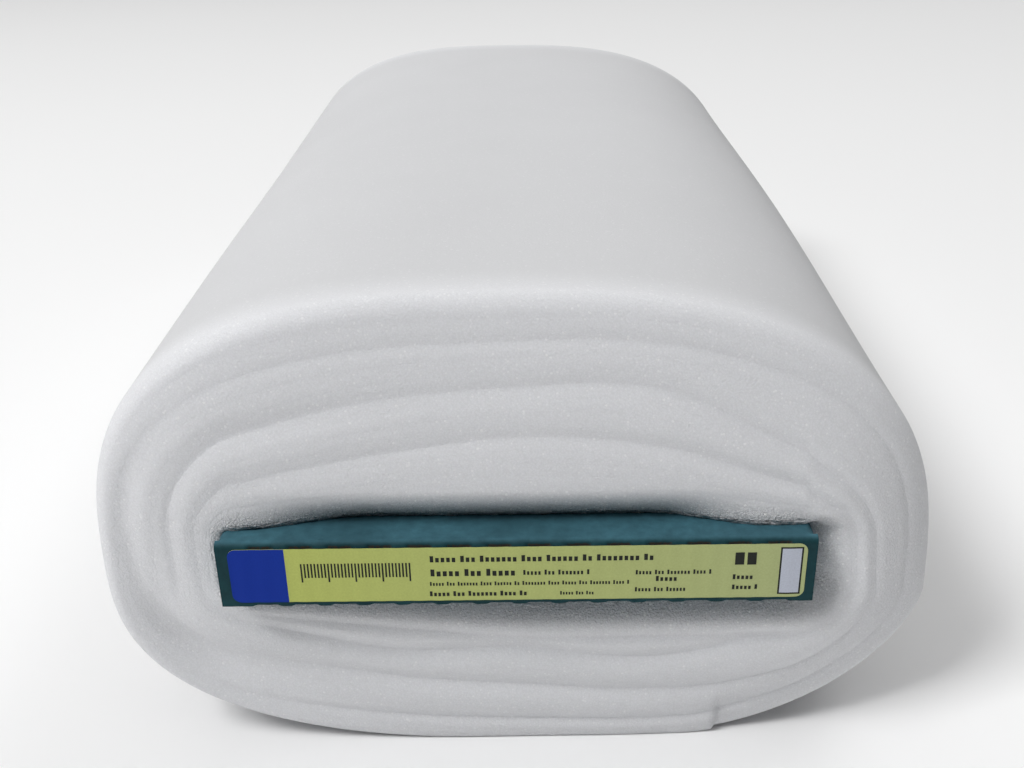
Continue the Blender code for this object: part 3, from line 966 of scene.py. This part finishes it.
def add_camera():
    """Set the camera at the photograph's viewing angle: turned, pitched down, then rolled."""
    camera = bpy.data.cameras.new("camera")
    camera.lens = CAMERA_LENS
    camera.sensor_width = 36.0
    camera.clip_start = 0.01
    item = bpy.data.objects.new("camera", camera)
    turn = Matrix.Rotation(CAMERA_YAW, 4, "Z")
    pitch = Matrix.Rotation(QUARTER_TURN - CAMERA_PITCH, 4, "X")
    roll = Matrix.Rotation(CAMERA_ROLL, 4, "Z")
    item.matrix_world = Matrix.Translation(CAMERA_PLACE) @ turn @ pitch @ roll
    bpy.context.scene.collection.objects.link(item)
    bpy.context.scene.camera = item


def add_world(settings):
    """Set the room's even light, which is off unless its strength is raised."""
    world = bpy.data.worlds.new("studio")
    world.use_nodes = True
    background = world.node_tree.nodes["Background"]
    background.inputs["Color"].default_value = (*settings.room_colour, 1.0)
    background.inputs["Strength"].default_value = settings.room_light
    bpy.context.scene.world = world


def length(name, description, default, low=0.0):
    """Make a setting for a length in metres."""
    return bpy.props.FloatProperty(name=name, description=description, default=default, min=low,
                                   unit="LENGTH")


def factor(name, description, default, high):
    """Make a setting for a factor from 0 to its highest value."""
    return bpy.props.FloatProperty(name=name, description=description, default=default, min=0.0, max=high,
                                   subtype="FACTOR")


def light_strength(name, description, default):
    """Make a setting for a lamp's power or the even light's strength."""
    return bpy.props.FloatProperty(name=name, description=description, default=default, min=0.0)


def tint(name, description, default):
    """Make a setting for a colour."""
    return bpy.props.FloatVectorProperty(name=name, description=description, default=default, size=3,
                                         subtype="COLOR", min=0.0, max=1.0)


class FoamSettings(bpy.types.PropertyGroup):
    """Sizes and finish of the wound foam."""

    crease_strength: factor("Crease strength", "How strongly the main creases sink into the ends", 1.0, 2.0)
    dome: factor("Dome", "How far the end faces fall back towards their rim", 1.0, 1.3)
    turn_setback: length("Turn setback", "How far single turns stand in or out of the end faces", 0.00025)
    turn_groove: length("Turn groove", "Depth of the soft groove where two turns meet", 0.00012)
    rim_waver: length("Rim waver", "Slow unevenness of the end faces", 0.0005)
    skin_waver: length("Skin waver", "Slow unevenness of the outside", 0.0005)
    bulge: length("Bulge", "Swell of the outside halfway along", 0.003)
    mouth_fray: length("Mouth fray", "Raggedness of the mouth's cut edge", 0.00022)
    cell_size: length("Cell size", "Size of the foam's open cells", 0.0007, 0.0001)
    softness: factor("Softness", "How much light spreads inside the foam", 0.5, 1.0)
    colour: tint("Foam colour", "Colour of the foam's outside", (0.61, 0.613, 0.625))
    # The cut ends' colour is lighter than the outside's: painted light for the light the ends catch
    cut_colour: tint("Cut colour", "Colour of the foam's cut ends", (0.775, 0.78, 0.805))


class BoardSettings(bpy.types.PropertyGroup):
    """Sizes and colours of the folded board."""

    flute_pitch: length("Flute pitch", "Distance between the board's flutes", 0.0066, 0.001)
    flute_relief: length("Flute relief", "How far the flutes show in the liner", 0.00005)
    cut_pitch: length("Cut pitch", "Distance between the perforations of a fold", 0.01344, 0.002)
    cut_length: length("Cut length", "Length of one perforation", 0.0085, 0.001)
    cut_depth: length("Cut depth", "How far a perforation is pressed in", 0.0008)
    notch_height: length("Notch height", "Height of the notches in the lower edge", 0.0006)
    colour: tint("Board colour", "Colour of the printed board", (0.045, 0.125, 0.160))
    face_colour: tint("Face colour", "Colour of the board's end panels", (0.009, 0.043, 0.051))
    cut_colour: tint("Cut colour", "Colour of the bare board in the cuts", (0.050, 0.042, 0.034))


class LabelSettings(bpy.types.PropertyGroup):
    """Colours of the paper label and its plain print."""

    left_colour: tint("Left colour", "Colour of the paper at its left end", (0.518, 0.575, 0.143))
    right_colour: tint("Right colour", "Colour of the paper at its right end", (0.449, 0.500, 0.244))
    patch_colour: tint("Patch colour", "Colour of the plain patch", (0.002, 0.030, 0.310))
    box_colour: tint("Box colour", "Colour of the blank box", (0.515, 0.545, 0.63))
    ink_colour: tint("Ink colour", "Colour of the marks", (0.020, 0.022, 0.018))


class StageSettings(bpy.types.PropertyGroup):
    """Floor and light of the plain studio."""

    floor_colour: tint("Floor colour", "Colour of the floor", (0.93, 0.93, 0.93))
    floor_radius: length("Floor radius", "Radius of the floor", 12.0, 1.0)
    room_colour: tint("Room colour", "Colour of the even light", (1.0, 1.0, 1.0))
    room_light: light_strength("Room light", "Strength of the even light", 0.0)
    key_light: light_strength("Key light", "Power of the main lamp, in watts", 184.0)
    side_light: light_strength("Side light", "Power of the side lamp, in watts", 44.0)
    top_light: light_strength("Top light", "Power of the wide overhead lamp, in watts", 266.0)


class ROLL_OT_add_foam(bpy.types.Operator):
    """Build the wound foam."""

    bl_idname = "foam_roll.add_foam"
    bl_label = "Add wound foam"

    def execute(self, context):
        """Build the foam from its settings."""
        wound_foam(context.scene.roll_foam)
        return {"FINISHED"}


class ROLL_OT_add_board(bpy.types.Operator):
    """Build the folded board: its sleeve and both end panels."""

    bl_idname = "foam_roll.add_board"
    bl_label = "Add folded board"

    def execute(self, context):
        """Build the board's three pieces from its settings."""
        settings = context.scene.roll_board
        material = board_material(settings)
        board_sleeve(settings, material)
        end_panel("board_end_front", "core_end_front", -1.0, settings, material)
        end_panel("board_end_back", "core_end_back", 1.0, settings, material)
        return {"FINISHED"}


class ROLL_OT_add_label(bpy.types.Operator):
    """Build the paper label with its plain print."""

    bl_idname = "foam_roll.add_label"
    bl_label = "Add label"

    def execute(self, context):
        """Build the label's pieces from its settings."""
        label_pieces(context.scene.roll_label)
        return {"FINISHED"}


class ROLL_OT_add_stage(bpy.types.Operator):
    """Build the plain studio: floor, light and camera."""

    bl_idname = "foam_roll.add_stage"
    bl_label = "Add studio"

    def execute(self, context):
        """Build the stage from its settings."""
        settings = context.scene.roll_stage
        add_floor(settings)
        add_world(settings)
        for name, power, place, target, size in LAMPS:
            add_light(name, place, target, size, getattr(settings, power))
        add_camera()
        context.scene.view_settings.view_transform = "Standard"
        return {"FINISHED"}


class ROLL_PT_panel(bpy.types.Panel):
    """Lists the settings and builds each group of pieces."""

    bl_label = "Foam roll"
    bl_idname = "ROLL_PT_panel"
    bl_space_type = "VIEW_3D"
    bl_region_type = "UI"
    bl_category = "Foam roll"

    def draw(self, context):
        """Show each group's settings above its button."""
        for group, _, operator in GROUPS:
            settings = getattr(context.scene, group)
            box = self.layout.box()
            for name in settings.__annotations__:
                box.prop(settings, name)
            box.operator(operator.bl_idname)


GROUPS = (
    ("roll_foam", FoamSettings, ROLL_OT_add_foam),
    ("roll_board", BoardSettings, ROLL_OT_add_board),
    ("roll_label", LabelSettings, ROLL_OT_add_label),
    ("roll_stage", StageSettings, ROLL_OT_add_stage),
)
CLASSES = [group[1] for group in GROUPS] + [group[2] for group in GROUPS] + [ROLL_PT_panel]


def register():
    """Register the classes and hang the settings on the scene."""
    for kind in CLASSES:
        bpy.utils.register_class(kind)
    for name, settings, _ in GROUPS:
        setattr(bpy.types.Scene, name, bpy.props.PointerProperty(type=settings))


def unregister():
    """Take the settings and the classes away again."""
    for name, _, _ in GROUPS:
        delattr(bpy.types.Scene, name)
    for kind in reversed(CLASSES):
        bpy.utils.unregister_class(kind)


def main():
    """Register the add-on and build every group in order."""
    register()
    bpy.ops.foam_roll.add_foam()
    bpy.ops.foam_roll.add_board()
    bpy.ops.foam_roll.add_label()
    bpy.ops.foam_roll.add_stage()


if __name__ == "__main__":
    main()
